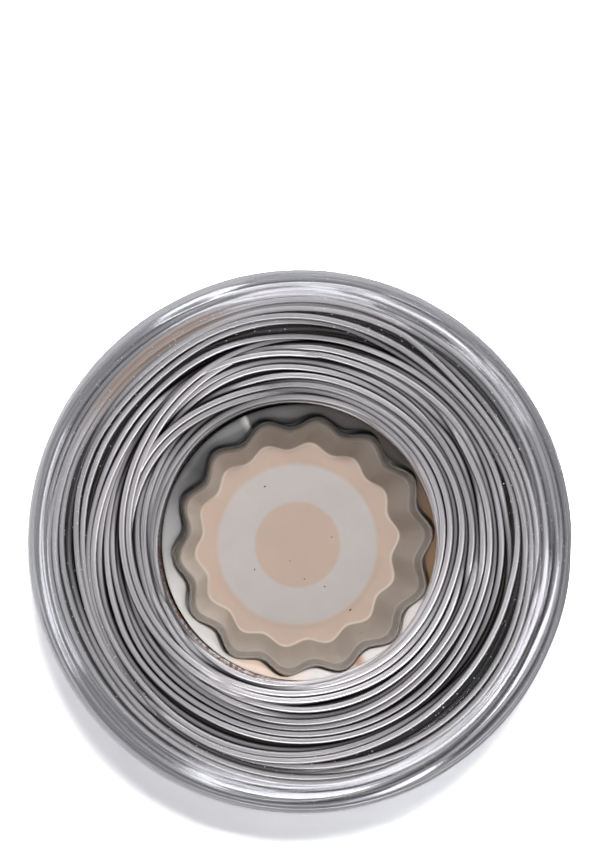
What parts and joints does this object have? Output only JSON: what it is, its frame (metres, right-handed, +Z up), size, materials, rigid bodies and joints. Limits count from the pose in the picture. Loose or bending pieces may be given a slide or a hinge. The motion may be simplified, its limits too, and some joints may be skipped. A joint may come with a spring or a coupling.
{
  "type": "coil of galvanized steel wire",
  "caption": "Round coil of galvanized steel wire lying on its end, wrapped in clear film, with a paper-lined bore and a fluted plastic cup pressed into it.",
  "frame": {"origin": "under the middle of the bore, on the floor where the back end rests", "axes": "+Z up, which is the front that the hub cup opens to; the bore runs along Z; seen from the front +X is to the right and +Y is the top of the picture"},
  "size_m": [0.1484, 0.1484, 0.0485],
  "materials": {
    "galvanized_wire": "satin zinc",
    "clear_film": "clear gloss",
    "liner_paper": "matte",
    "cup_plastic": "satin frosted"
  },
  "bodies": {
    "root": {"wire_coil": "galvanized_wire", "film_wrap": "clear_film", "bore_liner": "liner_paper", "hub_cup": "cup_plastic"}
  },
  "joints": []
}
